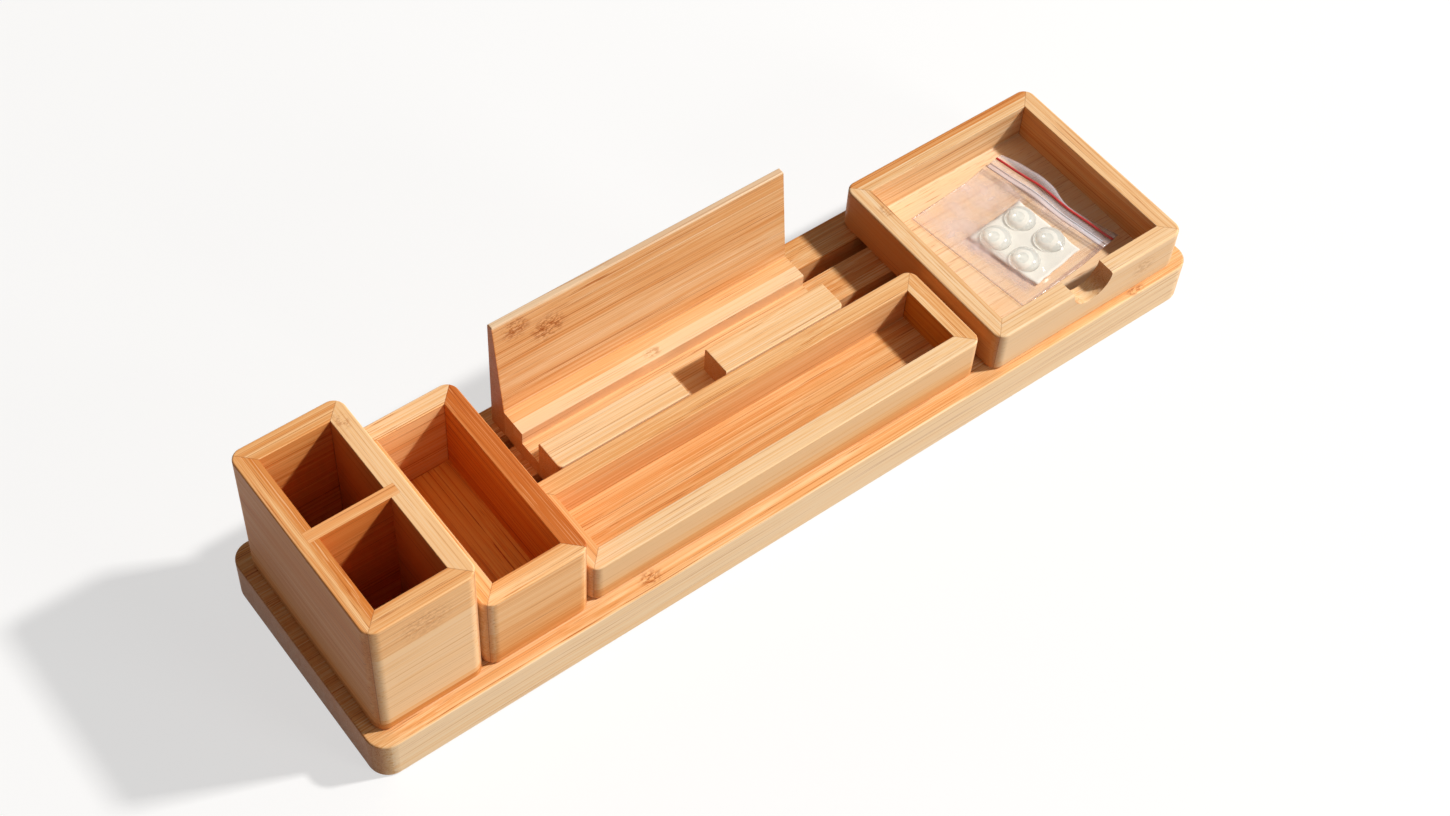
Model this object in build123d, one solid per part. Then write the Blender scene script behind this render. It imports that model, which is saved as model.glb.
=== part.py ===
from build123d import *
import math
import os

# Bamboo desk organizer: a grooved base board that carries a pen holder, a small box, a long tray,
# a note box and a phone stand that slides along the two grooves. Millimetres, +Z up, +X along the
# base towards the note box, -Y to the front. The origin is the centre of the base's underside.

# Base board
BASE_THICKNESS = 20.0
BASE_CORNER_RADIUS = 8.0
BASE_EDGE_ROUND = 0.8
LEFT_MARGIN = 5.0
RIGHT_MARGIN = 7.0
GROOVE_WIDTH = 6.5
GROOVE_FLOOR = 9.0
GROOVE_SPACING = 21.8
GROOVE_FROM_STAND_FRONT = 11.2
GROOVE_END_MARGIN = 12.0

# Runners, the strips under the modules that ride in the grooves
RUNNER_SIDE_CLEARANCE = 0.3
RUNNER_BOTTOM_CLEARANCE = 3.0
RUNNER_END_INSET = 9.0
RUNNER_LET_IN = 1.5

# What all the boxes share
FLOOR_THICKNESS = 4.0
FLOOR_REBATE = 3.0
INNER_EDGE_BEVEL = 0.2

# Pen holder
PEN_LENGTH = 44.0
PEN_DEPTH = 89.0
PEN_HEIGHT = 64.0
PEN_WALL = 8.0
PEN_SIDE_MARGIN = 6.5
PEN_CORNER_RADIUS = 5.0
PEN_TOP_ROUND = 0.7
PEN_BOTTOM_ROUND = 1.0
DIVIDER_THICKNESS = 4.8
DIVIDER_DADO = 3.75

# Small box
SMALL_LENGTH = 44.0
SMALL_DEPTH = 89.0
SMALL_HEIGHT = 39.0
SMALL_WALL = 8.0
SMALL_SIDE_MARGIN = 6.5
SMALL_CORNER_RADIUS = 5.0
SMALL_TOP_ROUND = 0.7
SMALL_BOTTOM_ROUND = 1.6

# Long tray
TRAY_LENGTH = 182.0
TRAY_DEPTH = 43.5
TRAY_HEIGHT = 20.0
TRAY_WALL = 8.0
TRAY_FRONT_MARGIN = 7.5
TRAY_CORNER_RADIUS = 4.5
TRAY_TOP_ROUND = 0.7
TRAY_BOTTOM_ROUND = 1.4

# Note box
NOTE_LENGTH = 98.0
NOTE_DEPTH = 95.5
NOTE_HEIGHT = 20.5
NOTE_WALL = 8.0
NOTE_SIDE_MARGIN = 3.25
NOTE_CORNER_RADIUS = 5.0
NOTE_TOP_ROUND = 1.0
NOTE_BOTTOM_ROUND = 1.6
FINGER_NOTCH_RADIUS = 10.0

# Gaps between neighbours along and across the base
MODULE_GAP = 1.0
TRAY_TO_NOTE_GAP = 5.0
STAND_REST_GAP = 17.0
STAND_END_GAP = 5.0
STAND_TO_TRAY_GAP = 0.4
STAND_BACK_MARGIN = 5.8

# Phone stand
STAND_LENGTH = 133.0
STAND_BOARD_THICKNESS = 8.0
LIP_WIDTH = 13.3
LIP_HEIGHT = 12.3
PHONE_GROOVE_WIDTH = 10.9
LEDGE_WIDTH = 11.9
LEDGE_HEIGHT = 6.1
PANEL_FOOT_THICKNESS = 8.7
PANEL_TOP_THICKNESS = 2.8
PANEL_HEIGHT = 58.0
CABLE_NOTCH_WIDTH = 17.1
CABLE_NOTCH_OFFSET = 1.1
STAND_CORNER_RADIUS = 2.0
STAND_EDGE_ROUND = 0.5

# Accessory packet: a clear zip bag with a card of four spare feet for the base, lying in the note box
BAG_LENGTH = 53.5
BAG_WIDTH = 61.5
BAG_FILM = 0.3
BAG_SEAL = 2.0
BAG_TOP_INSET = 4.0
BAG_CLEARANCE = 0.3
BAG_TURN = 6.5
BAG_OFFSET_X = 3.2
BAG_OFFSET_Y = 1.3
ZIP_MOUTH_DISTANCE = 5.6
ZIP_WIDTH = 1.6
ZIP_HEIGHT = 1.2
CARD_LENGTH = 29.5
CARD_WIDTH = 34.0
CARD_THICKNESS = 0.4
CARD_TURN = 8.0
CARD_OFFSET_X = -0.2
CARD_OFFSET_Y = -9.6
FOOT_DIAMETER = 12.7
FOOT_HEIGHT = 3.5
FOOT_PITCH = 15.3
FEET_ABOVE_CARD_CENTRE = 2.4

# Across the base: each row of modules with its margins, and the base as deep as the deepest row
stand_depth = LIP_WIDTH + PHONE_GROOVE_WIDTH + LEDGE_WIDTH + PANEL_FOOT_THICKNESS
pen_row_depth = PEN_DEPTH + 2 * PEN_SIDE_MARGIN
small_row_depth = SMALL_DEPTH + 2 * SMALL_SIDE_MARGIN
note_row_depth = NOTE_DEPTH + 2 * NOTE_SIDE_MARGIN
tray_row_depth = TRAY_FRONT_MARGIN + TRAY_DEPTH + STAND_TO_TRAY_GAP + stand_depth + STAND_BACK_MARGIN
base_depth = max(pen_row_depth, small_row_depth, note_row_depth, tray_row_depth)
tray_front = TRAY_FRONT_MARGIN - tray_row_depth / 2
tray_back = tray_front + TRAY_DEPTH
stand_front = tray_back + STAND_TO_TRAY_GAP
stand_back = stand_front + stand_depth

# Along the base, from the left end
pen_from_end = LEFT_MARGIN
small_from_end = pen_from_end + PEN_LENGTH + MODULE_GAP
tray_from_end = small_from_end + SMALL_LENGTH + MODULE_GAP
stand_from_end = small_from_end + SMALL_LENGTH + STAND_REST_GAP
tray_end = tray_from_end + TRAY_LENGTH + TRAY_TO_NOTE_GAP
stand_end = stand_from_end + STAND_LENGTH + STAND_END_GAP
note_from_end = max(tray_end, stand_end)
base_length = note_from_end + NOTE_LENGTH + RIGHT_MARGIN
base_left = -base_length / 2
pen_left = base_left + pen_from_end
small_left = base_left + small_from_end
tray_left = base_left + tray_from_end
stand_left = base_left + stand_from_end
stand_right = stand_left + STAND_LENGTH
note_left = base_left + note_from_end
top_of_base = BASE_THICKNESS

# Grooves and runners, laid out from the front of the phone stand that slides in them
front_groove_line = stand_front + GROOVE_FROM_STAND_FRONT
groove_lines = {"front": front_groove_line, "rear": front_groove_line + GROOVE_SPACING}
groove_depth = BASE_THICKNESS - GROOVE_FLOOR
groove_length = base_length - 2 * GROOVE_END_MARGIN
runner_width = GROOVE_WIDTH - 2 * RUNNER_SIDE_CLEARANCE
runner_bottom = GROOVE_FLOOR + RUNNER_BOTTOM_CLEARANCE


def block(x_range, y_range, z_range):
    """A box between two limits along each axis."""
    size = [high - low for low, high in (x_range, y_range, z_range)]
    middle = [(high + low) / 2 for low, high in (x_range, y_range, z_range)]
    return Pos(*middle) * Box(*size)


def polygon_prism(points, z_range):
    """A prism over a closed outline of (x, y) points, between two heights."""
    outline = Polyline(*points, close=True)
    face = Pos(0, 0, z_range[0]) * make_face(outline)
    return extrude(face, z_range[1] - z_range[0], dir=(0, 0, 1))


def rounded_block(x_range, y_range, z_range, corner, top_round, bottom_round):
    """A board with rounded upright corners and softened top and bottom edges."""
    board = block(x_range, y_range, z_range)
    board = fillet(board.edges().filter_by(Axis.Z), corner)
    if top_round:
        board = fillet(board.faces().sort_by(Axis.Z)[-1].edges(), top_round)
    if bottom_round:
        board = fillet(board.faces().sort_by(Axis.Z)[0].edges(), bottom_round)
    return board


def mitred_walls(x_range, y_range, z_range, wall, corner, top_round, bottom_round, rebated):
    """Four walls with mitred corners and, where rebated, a rebate inside for the floor panel."""
    ring = rounded_block(x_range, y_range, z_range, corner, top_round, bottom_round)
    inner_x = (x_range[0] + wall, x_range[1] - wall)
    inner_y = (y_range[0] + wall, y_range[1] - wall)
    ring -= block(inner_x, inner_y, z_range)
    mouth_length = inner_x[1] - inner_x[0]
    mouth_depth = inner_y[1] - inner_y[0]
    bevel_plane = Plane((sum(inner_x) / 2, sum(inner_y) / 2, z_range[1] - INNER_EDGE_BEVEL))
    ring -= extrude(bevel_plane * Rectangle(mouth_length, mouth_depth), INNER_EDGE_BEVEL, taper=-45)
    if rebated:
        rebate_x = (inner_x[0] - FLOOR_REBATE, inner_x[1] + FLOOR_REBATE)
        rebate_y = (inner_y[0] - FLOOR_REBATE, inner_y[1] + FLOOR_REBATE)
        ring -= block(rebate_x, rebate_y, (z_range[0], z_range[0] + FLOOR_THICKNESS))

    # Each wall is the ring inside one mitred wedge, drawn a little past the ring on both sides
    past = 1.0
    left, right = x_range[0] - past, x_range[1] + past
    front, back = y_range[0] - past, y_range[1] + past
    reach = wall + 2 * past
    inner = {
        "front_left": (left + reach, front + reach),
        "front_right": (right - reach, front + reach),
        "back_left": (left + reach, back - reach),
        "back_right": (right - reach, back - reach),
    }
    wedges = {
        "front": [(left, front), (right, front), inner["front_right"], inner["front_left"]],
        "back": [(right, back), (left, back), inner["back_left"], inner["back_right"]],
        "left": [(left, back), (left, front), inner["front_left"], inner["back_left"]],
        "right": [(right, front), (right, back), inner["back_right"], inner["front_right"]],
    }
    heights = (z_range[0] - past, z_range[1] + past)
    return {side: ring & polygon_prism(outline, heights) for side, outline in wedges.items()}


def let_in_floor(x_range, y_range, wall):
    """The floor of a box, let into the rebate of its walls."""
    inset = wall - FLOOR_REBATE
    return block(
        (x_range[0] + inset, x_range[1] - inset),
        (y_range[0] + inset, y_range[1] - inset),
        (top_of_base, top_of_base + FLOOR_THICKNESS),
    )


def floor_under_walls(x_range, y_range, corner, bottom_round):
    """A floor as large as the box, which the walls stand on."""
    z_range = (top_of_base, top_of_base + FLOOR_THICKNESS)
    return rounded_block(x_range, y_range, z_range, corner, 0, bottom_round)


def runners(x_range):
    """The front and rear runner of a module, let into its underside."""
    span = (x_range[0] + RUNNER_END_INSET, x_range[1] - RUNNER_END_INSET)
    heights = (runner_bottom, top_of_base + RUNNER_LET_IN)
    strips = {}
    for place, line in groove_lines.items():
        strips[place] = block(span, (line - runner_width / 2, line + runner_width / 2), heights)
    return strips


def add_runners(pieces, name, x_range, board):
    """Adds a module's two runners to its pieces and lets them into the board that carries them."""
    for place, strip in runners(x_range).items():
        pieces[board] -= strip
        pieces[f"{name}_{place}_runner"] = strip


def box_module(name, x_range, y_range, height, wall, corner, top_round, bottom_round, on_runners):
    """The named pieces of a low box: mitred walls, a let-in floor and, over the grooves, two runners."""
    z_range = (top_of_base, top_of_base + height)
    walls = mitred_walls(x_range, y_range, z_range, wall, corner, top_round, bottom_round, True)
    pieces = {f"{name}_{side}_wall": piece for side, piece in walls.items()}
    pieces[f"{name}_floor"] = let_in_floor(x_range, y_range, wall)
    if on_runners:
        add_runners(pieces, name, x_range, f"{name}_floor")
    return pieces


def make_base():
    """The base board with its two stopped grooves."""
    x_range = (-base_length / 2, base_length / 2)
    y_range = (-base_depth / 2, base_depth / 2)
    edge = BASE_EDGE_ROUND
    board = rounded_block(x_range, y_range, (0, BASE_THICKNESS), BASE_CORNER_RADIUS, edge, edge)
    for line in groove_lines.values():
        groove_face = Plane((0, line, GROOVE_FLOOR)) * SlotOverall(groove_length, GROOVE_WIDTH)
        board -= extrude(groove_face, groove_depth)
    return {"base_board": board}


def make_pen_holder():
    """A tall box on a full floor, with a cross divider let into dadoes in its two long walls."""
    x_range = (pen_left, pen_left + PEN_LENGTH)
    y_range = (-PEN_DEPTH / 2, PEN_DEPTH / 2)
    z_range = (top_of_base + FLOOR_THICKNESS, top_of_base + PEN_HEIGHT)
    walls = mitred_walls(x_range, y_range, z_range, PEN_WALL, PEN_CORNER_RADIUS, PEN_TOP_ROUND, 0, False)
    pieces = {f"pen_holder_{side}_wall": piece for side, piece in walls.items()}
    pieces["pen_holder_floor"] = floor_under_walls(x_range, y_range, PEN_CORNER_RADIUS, PEN_BOTTOM_ROUND)
    add_runners(pieces, "pen_holder", x_range, "pen_holder_floor")
    dado_inset = PEN_WALL - DIVIDER_DADO
    divider = block(
        (x_range[0] + dado_inset, x_range[1] - dado_inset),
        (-DIVIDER_THICKNESS / 2, DIVIDER_THICKNESS / 2),
        z_range,
    )
    pieces["pen_holder_left_wall"] -= divider
    pieces["pen_holder_right_wall"] -= divider
    pieces["pen_holder_divider"] = divider
    return pieces


def make_small_box():
    """A box of the pen holder's footprint, but lower and undivided."""
    x_range = (small_left, small_left + SMALL_LENGTH)
    y_range = (-SMALL_DEPTH / 2, SMALL_DEPTH / 2)
    return box_module(
        "small_box", x_range, y_range, SMALL_HEIGHT, SMALL_WALL,
        SMALL_CORNER_RADIUS, SMALL_TOP_ROUND, SMALL_BOTTOM_ROUND, True,
    )


def make_long_tray():
    """A long shallow tray that stands in front of the grooves."""
    x_range = (tray_left, tray_left + TRAY_LENGTH)
    return box_module(
        "long_tray", x_range, (tray_front, tray_back), TRAY_HEIGHT, TRAY_WALL,
        TRAY_CORNER_RADIUS, TRAY_TOP_ROUND, TRAY_BOTTOM_ROUND, False,
    )


def make_note_box():
    """A shallow box for sticky notes, with a half-round finger notch in its front wall."""
    x_range = (note_left, note_left + NOTE_LENGTH)
    y_range = (-NOTE_DEPTH / 2, NOTE_DEPTH / 2)
    pieces = box_module(
        "note_box", x_range, y_range, NOTE_HEIGHT, NOTE_WALL,
        NOTE_CORNER_RADIUS, NOTE_TOP_ROUND, NOTE_BOTTOM_ROUND, True,
    )
    notch_middle = (sum(x_range) / 2, y_range[0] + NOTE_WALL / 2, top_of_base + NOTE_HEIGHT)
    notch = Pos(*notch_middle) * Rot(90, 0, 0) * Cylinder(FINGER_NOTCH_RADIUS, 2 * NOTE_WALL)
    pieces["note_box_front_wall"] -= notch
    return pieces


def softened(piece, amount):
    """A strip with its top edges rounded."""
    return fillet(piece.faces().sort_by(Axis.Z)[-1].edges(), amount)


def make_phone_stand():
    """A board with a phone groove between a front lip and a ledge, and an upright back panel."""
    x_range = (stand_left, stand_right)
    board_top = top_of_base + STAND_BOARD_THICKNESS
    lip_back = stand_front + LIP_WIDTH
    ledge_front = lip_back + PHONE_GROOVE_WIDTH
    panel_front = ledge_front + LEDGE_WIDTH
    ledge_top = board_top + LEDGE_HEIGHT
    corner = min(STAND_CORNER_RADIUS, LIP_WIDTH / 2)

    board = block(x_range, (stand_front, panel_front), (top_of_base, board_top))
    front_corners = board.edges().filter_by(Axis.Z).group_by(Axis.Y)[0]
    pieces = {"stand_base_board": fillet(front_corners, corner)}
    add_runners(pieces, "stand", x_range, "stand_base_board")

    ledge = block(x_range, (ledge_front, panel_front), (board_top, ledge_top))
    front_edge = ledge.edges().filter_by(Axis.X).group_by(Axis.Y)[0].sort_by(Axis.Z)[-1]
    pieces["stand_ledge_strip"] = fillet(front_edge, STAND_EDGE_ROUND)

    # The front lip is one strip parted near its middle by the cable notch
    notch_middle = (stand_left + stand_right) / 2 + CABLE_NOTCH_OFFSET
    lip_spans = {
        "left": (stand_left, notch_middle - CABLE_NOTCH_WIDTH / 2),
        "right": (notch_middle + CABLE_NOTCH_WIDTH / 2, stand_right),
    }
    for side, span in lip_spans.items():
        lip = block(span, (stand_front, lip_back), (board_top, board_top + LIP_HEIGHT))
        end = 0 if side == "left" else -1
        outer_end = lip.edges().filter_by(Axis.Z).group_by(Axis.X)[end]
        lip = fillet(outer_end.sort_by(Axis.Y)[0], corner)
        pieces[f"stand_{side}_lip_strip"] = softened(lip, STAND_EDGE_ROUND)

    # The panel's back is upright, and its front leans back from the ledge to a thin top edge
    panel_top = top_of_base + PANEL_HEIGHT
    thin_front = stand_back - PANEL_TOP_THICKNESS
    profile = [
        (stand_back, top_of_base),
        (stand_back, panel_top),
        (thin_front, panel_top),
        (panel_front, ledge_top),
        (panel_front, top_of_base),
    ]
    section = Plane.YZ.offset(stand_left) * make_face(Polyline(*profile, close=True))
    panel = extrude(section, STAND_LENGTH, dir=(1, 0, 0))
    pieces["stand_back_panel"] = softened(panel, min(STAND_EDGE_ROUND, PANEL_TOP_THICKNESS / 3))
    return pieces


def make_packet():
    """A clear zip bag that holds a card with four spare feet, lying in the note box."""
    bag_bottom = top_of_base + FLOOR_THICKNESS + BAG_CLEARANCE
    inside_bottom = bag_bottom + BAG_FILM
    card_top = inside_bottom + BAG_CLEARANCE + CARD_THICKNESS
    inside_top = card_top + FOOT_HEIGHT + BAG_CLEARANCE
    bag_top = inside_top + BAG_FILM
    middle_x = note_left + NOTE_LENGTH / 2 + BAG_OFFSET_X
    bag_place = Pos(middle_x, BAG_OFFSET_Y, 0) * Rot(0, 0, BAG_TURN)

    def pillow(bottom, top, side_inset, top_inset):
        """The bag's tapered form: the full sheet below, a smaller one above its contents."""
        low = Rectangle(BAG_LENGTH - 2 * side_inset, BAG_WIDTH - 2 * side_inset)
        high = Rectangle(BAG_LENGTH - 2 * top_inset, BAG_WIDTH - 2 * top_inset)
        return loft([Pos(0, 0, bottom) * low, Pos(0, 0, top) * high])

    outside = pillow(bag_bottom, bag_top, 0, BAG_TOP_INSET)
    inside = pillow(inside_bottom, inside_top, BAG_SEAL, BAG_TOP_INSET + BAG_FILM)
    pieces = {"packet_bag": bag_place * (outside - inside)}

    zip_middle = BAG_LENGTH / 2 - ZIP_MOUTH_DISTANCE
    zip_x = (zip_middle - ZIP_WIDTH / 2, zip_middle + ZIP_WIDTH / 2)
    zip_reach = BAG_WIDTH / 2 - BAG_TOP_INSET
    zip_strip = block(zip_x, (-zip_reach, zip_reach), (bag_top, bag_top + ZIP_HEIGHT))
    pieces["packet_zip_strip"] = bag_place * zip_strip

    card_place = Pos(middle_x + CARD_OFFSET_X, BAG_OFFSET_Y + CARD_OFFSET_Y, card_top) * Rot(0, 0, CARD_TURN)
    card = Pos(0, 0, -CARD_THICKNESS / 2) * Box(CARD_LENGTH, CARD_WIDTH, CARD_THICKNESS)
    pieces["packet_card"] = card_place * card

    # Each foot is a cap of a sphere through its rim and its top
    rim = FOOT_DIAMETER / 2
    ball_radius = (rim**2 + FOOT_HEIGHT**2) / (2 * FOOT_HEIGHT)
    ball = Pos(0, 0, FOOT_HEIGHT - ball_radius) * Sphere(ball_radius)
    above_card = Pos(0, 0, ball_radius) * Box(4 * rim, 4 * rim, 2 * ball_radius)
    foot = ball & above_card
    half_pitch = FOOT_PITCH / 2
    corners = [(-1, 1), (1, 1), (-1, -1), (1, -1)]
    for number, (across, along) in enumerate(corners, start=1):
        spot = Pos(across * half_pitch, FEET_ABOVE_CARD_CENTRE + along * half_pitch, 0)
        pieces[f"packet_foot_{number}"] = card_place * spot * foot
    return pieces


def write_parts(pieces):
    """One STEP file for each named piece."""
    os.makedirs("parts", exist_ok=True)
    for name, piece in pieces.items():
        solids = piece.solids()
        shape = solids[0] if len(solids) == 1 else Compound(children=list(solids))
        shape.label = name
        export_step(shape, f"parts/{name}.step")


all_pieces = {}
for make in (
    make_base,
    make_pen_holder,
    make_small_box,
    make_long_tray,
    make_note_box,
    make_phone_stand,
    make_packet,
):
    all_pieces.update(make())
write_parts(all_pieces)
print(f"{len(all_pieces)} pieces, base {base_length:.1f} by {base_depth:.1f} mm")
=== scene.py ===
import math

import bpy
import numpy as np
from mathutils import Matrix, Vector


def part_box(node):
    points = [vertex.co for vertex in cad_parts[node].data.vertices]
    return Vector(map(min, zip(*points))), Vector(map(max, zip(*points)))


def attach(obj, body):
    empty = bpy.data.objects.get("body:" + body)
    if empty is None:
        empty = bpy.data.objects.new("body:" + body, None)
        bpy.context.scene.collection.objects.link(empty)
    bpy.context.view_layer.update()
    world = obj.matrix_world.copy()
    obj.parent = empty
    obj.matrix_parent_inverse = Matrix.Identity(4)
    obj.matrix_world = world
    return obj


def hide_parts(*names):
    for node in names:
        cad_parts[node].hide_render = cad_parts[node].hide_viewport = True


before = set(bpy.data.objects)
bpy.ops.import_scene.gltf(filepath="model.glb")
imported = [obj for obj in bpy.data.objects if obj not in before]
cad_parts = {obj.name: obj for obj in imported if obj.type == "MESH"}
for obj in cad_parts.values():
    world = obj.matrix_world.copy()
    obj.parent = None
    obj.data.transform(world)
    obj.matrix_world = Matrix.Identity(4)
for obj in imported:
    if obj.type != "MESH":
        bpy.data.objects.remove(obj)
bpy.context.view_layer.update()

# Lengths are millimetres in the names and sums below, and become metres where Blender gets them.
# Only the lamps are described in metres. Colours are linear red, green and blue.
MM = 0.001
WHITE = (1, 1, 1)
NO_TINT = (1, 1, 1)


# ---------------------------------------------------------------- node helpers

class Graph:
    """Short calls that add shader nodes to a tree and wire them."""

    def __init__(self, tree):
        self.tree = tree

    def feed(self, socket, value):
        """Wires an output to a socket, or sets the socket to a number, a vector or a colour."""
        if isinstance(value, bpy.types.NodeSocket):
            self.tree.links.new(value, socket)
        elif socket.type == "RGBA":
            socket.default_value = (*value, 1)
        else:
            socket.default_value = value

    def node(self, kind, sockets=(), **settings):
        """The outputs of a new node: its sockets are fed by name or in order, its settings are set."""
        node = self.tree.nodes.new(kind)
        for setting, value in settings.items():
            setattr(node, setting, value)
        named = sockets.items() if isinstance(sockets, dict) else enumerate(sockets)
        for socket, value in named:
            self.feed(node.inputs[socket], value)
        return node.outputs

    def math(self, operation, *values):
        return self.node("ShaderNodeMath", values, operation=operation)[0]

    def add(self, *values):
        total = values[0]
        for value in values[1:]:
            total = self.math("ADD", total, value)
        return total

    def times(self, *values):
        total = values[0]
        for value in values[1:]:
            total = self.math("MULTIPLY", total, value)
        return total

    def size(self, value):
        """A number without its sign."""
        return self.math("ABSOLUTE", value)

    def centred(self, value, gain):
        """A value about 0.5 turned into one about 0, times a gain."""
        return self.times(self.math("SUBTRACT", value, 0.5), gain)

    def at_least(self, share, least):
        """A share from 0 to 1 squeezed between a least value and 1."""
        return self.add(self.times(share, 1 - least), least)

    def vector(self, operation, *values):
        return self.node("ShaderNodeVectorMath", values, operation=operation)[0]

    def split(self, vector):
        return self.node("ShaderNodeSeparateXYZ", [vector])

    def join(self, x, y, z):
        return self.node("ShaderNodeCombineXYZ", (x, y, z))[0]

    def noise(self, vector, scale=(1, 1, 1), detail=2.0, roughness=0.5):
        """Noise from 0 to 1 at so many waves a millimetre along each axis."""
        place = self.vector("MULTIPLY", vector, scale)
        sockets = {"Vector": place, "Scale": 1.0, "Detail": detail, "Roughness": roughness}
        return self.node("ShaderNodeTexNoise", sockets)["Fac"]

    def step(self, value, low, high, to_low=0.0, to_high=1.0):
        """A smooth step of value from low to high."""
        numbers = (value, low, high, to_low, to_high)
        return self.node("ShaderNodeMapRange", numbers, interpolation_type="SMOOTHSTEP")[0]

    def mix(self, share, low, high, blend="MIX"):
        """A mix of two colours."""
        colours = {0: share, 6: low, 7: high}
        return self.node("ShaderNodeMix", colours, data_type="RGBA", blend_type=blend)[2]

    def shade(self, share, colour, tint):
        """A colour multiplied by a tint, by a share."""
        return self.mix(share, colour, tint, "MULTIPLY")

    def mix_shaders(self, share, low, high):
        return self.node("ShaderNodeMixShader", (share, low, high))[0]

    def place(self):
        """Where a point lies on its object, in mm, and which way it faces."""
        coordinates = self.node("ShaderNodeTexCoord")
        spot = self.vector("MULTIPLY", coordinates["Object"], (1 / MM, 1 / MM, 1 / MM))
        return spot, coordinates["Normal"]

    def surface(self, sockets, height, strength, depth):
        """The material's surface, with a bump of a height, a strength and a depth in mm."""
        bump = {"Height": height, "Strength": strength, "Distance": depth * MM}
        normal = self.node("ShaderNodeBump", bump)[0]
        shader = self.node("ShaderNodeBsdfPrincipled", {**sockets, "Normal": normal})[0]
        self.node("ShaderNodeOutputMaterial", {"Surface": shader})


def new_material(name):
    """An empty material, and the graph that fills it."""
    material = bpy.data.materials.new(name)
    material.use_nodes = True
    material.node_tree.nodes.clear()
    return material, Graph(material.node_tree)


# ---------------------------------------------------------------- camera, light and floor

CAMERA_AZIMUTH = -40.83
CAMERA_ELEVATION = 53.40
CAMERA_ROLL = 4.603
CAMERA_PLACE = (-355.63, -404.71, 738.13)
CAMERA_LENS = 58.117
CAMERA_SENSOR = 36
CAMERA_NEAR = 10

# Each lamp is a square soft box: where it stands as seen from the object, how far off and how wide
# in metres, and its power in watts
LAMPS = {
    "key": dict(
        direction=(0.927, -0.43, 1.0), distance=6.0, width=0.42, power=420.0, colour=(1.0, 0.98, 0.95),
    ),
    "fill": dict(
        direction=(0.40, -1.0, 0.35), distance=1.8, width=0.6, power=7.5, colour=(1.0, 1.0, 0.98),
    ),
}
SKY_COLOUR = (1.0, 0.90, 0.80)
SKY_STRENGTH = 0.12
# The floor is bright to the eye, with a share of its own glow, and greyer to the light that it bounces
FLOOR_GLOW_SHARE = 0.62
FLOOR_SEEN_GREY = 0.95
FLOOR_BOUNCE_GREY = 0.46
FLOOR_REACH = 4000
FLOOR_DROP = 0.3


def make_camera():
    """The viewing angle of the photograph: where the camera stands, its tilt and its lens."""
    azimuth = math.radians(CAMERA_AZIMUTH)
    elevation = math.radians(CAMERA_ELEVATION)
    back = Vector((
        math.sin(azimuth) * math.cos(elevation),
        -math.cos(azimuth) * math.cos(elevation),
        math.sin(elevation),
    ))
    right = Vector((0, 0, 1)).cross(back).normalized()
    up = back.cross(right)
    turn = Matrix((right, up, back)).transposed().to_4x4()
    roll = Matrix.Rotation(math.radians(CAMERA_ROLL), 4, "Z")
    data = bpy.data.cameras.new("camera")
    data.lens = CAMERA_LENS
    data.sensor_width = CAMERA_SENSOR
    data.sensor_fit = "HORIZONTAL"
    data.clip_start = CAMERA_NEAR * MM
    camera = bpy.data.objects.new("camera", data)
    camera.matrix_world = Matrix.Translation(Vector(CAMERA_PLACE) * MM) @ turn @ roll
    bpy.context.scene.collection.objects.link(camera)
    bpy.context.scene.camera = camera


def soft_light(name, direction, distance, width, power, colour):
    """A square soft box that faces the middle of the object from a direction."""
    data = bpy.data.lights.new(name, "AREA")
    data.size = width
    data.energy = power
    data.color = colour
    light = bpy.data.objects.new(name, data)
    towards = Vector(direction).normalized()
    light.location = towards * distance
    light.rotation_euler = towards.to_track_quat("Z", "Y").to_euler()
    bpy.context.scene.collection.objects.link(light)


def seen_rays(g):
    """1 for the rays that look at the background: straight, in a gloss or through glass."""
    path = g.node("ShaderNodeLightPath")
    straight = g.math("MAXIMUM", path["Is Camera Ray"], path["Is Transmission Ray"])
    return g.math("MAXIMUM", straight, path["Is Glossy Ray"])


def make_world():
    """An even pale sky for the object, and white for what looks at it."""
    world = bpy.data.worlds.new("studio")
    bpy.context.scene.world = world
    world.use_nodes = True
    world.node_tree.nodes.clear()
    g = Graph(world.node_tree)
    sky = g.node("ShaderNodeBackground", {"Color": SKY_COLOUR, "Strength": SKY_STRENGTH})[0]
    white = g.node("ShaderNodeBackground", {"Color": WHITE, "Strength": 1.0})[0]
    g.node("ShaderNodeOutputWorld", {"Surface": g.mix_shaders(seen_rays(g), sky, white)})


def make_floor():
    """A plain pale floor under the base, which keeps the object's shadow."""
    reach = FLOOR_REACH * MM
    corners = [(-reach, -reach, 0), (reach, -reach, 0), (reach, reach, 0), (-reach, reach, 0)]
    mesh = bpy.data.meshes.new("floor")
    mesh.from_pydata(corners, [], [(0, 1, 2, 3)])
    floor = bpy.data.objects.new("floor", mesh)
    floor.location.z = -FLOOR_DROP * MM
    bpy.context.scene.collection.objects.link(floor)
    material, g = new_material("floor_paper")
    seen = seen_rays(g)
    grey = g.step(seen, 0, 1, FLOOR_BOUNCE_GREY, FLOOR_SEEN_GREY)
    paper = g.node("ShaderNodeBsdfDiffuse", {"Color": g.join(grey, grey, grey)})[0]
    glow = g.node("ShaderNodeEmission", {"Color": WHITE, "Strength": 1.0})[0]
    share = g.times(seen, FLOOR_GLOW_SHARE)
    g.node("ShaderNodeOutputMaterial", {"Surface": g.mix_shaders(share, paper, glow)})
    mesh.materials.append(material)


# ---------------------------------------------------------------- bamboo

PALE = (0.90, 0.64, 0.385)
CREAM = (0.88, 0.57, 0.29)
HONEY = (0.77, 0.375, 0.13)
AMBER = (0.66, 0.22, 0.040)
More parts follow.
